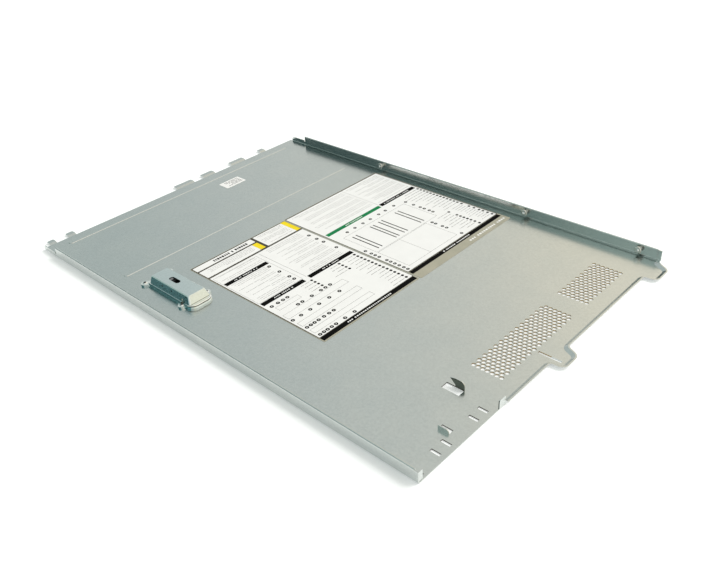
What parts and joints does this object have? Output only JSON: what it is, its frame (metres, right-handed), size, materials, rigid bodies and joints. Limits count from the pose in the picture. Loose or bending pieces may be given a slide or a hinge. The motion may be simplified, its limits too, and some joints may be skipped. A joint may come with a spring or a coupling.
{
  "type": "server top cover",
  "caption": "Folded sheet-metal top cover of a rack server, inside face up, with hemmed side flanges, joggled tabs, honeycomb vents, a turned-up rear lip, printed labels and a latch.",
  "frame": {"origin": "under the middle of the outline, on the outer face that lies on the floor", "axes": "+X from the front tabs to the rear tongues, +Y from the latch side to the other flange, +Z from the outer face to the inside"},
  "size_m": [0.6386, 0.43, 0.014],
  "materials": {
    "zinc_sheet": "zinc-plated, satin",
    "housing_steel": "zinc-plated, satin",
    "lever_black": "fine grain",
    "pin_steel": "drawn",
    "rivet_steel": "zinc-plated",
    "stud_steel": "turned",
    "label_print": "printed film"
  },
  "bodies": {
    "cover": {"cover_panel": "zinc_sheet", "latch_housing": "housing_steel", "latch_pivot_pin": "pin_steel", "housing_rivet_1": "rivet_steel", "housing_rivet_2": "rivet_steel", "housing_rivet_3": "rivet_steel", "housing_rivet_4": "rivet_steel", "flange_stud_1": "stud_steel", "flange_stud_2": "stud_steel", "flange_stud_3": "stud_steel", "label_far": "label_print", "label_near": "label_print", "label_small": "label_print"},
    "lever": {"latch_lever": "lever_black"}
  },
  "joints": [
    {"name": "latch_hinge", "type": "hinge", "parent": "cover", "child": "lever", "pos_m": [-0.0604, -0.166, 0.0074], "axis": [0, -1, 0], "range_deg": [0, 75]}
  ]
}
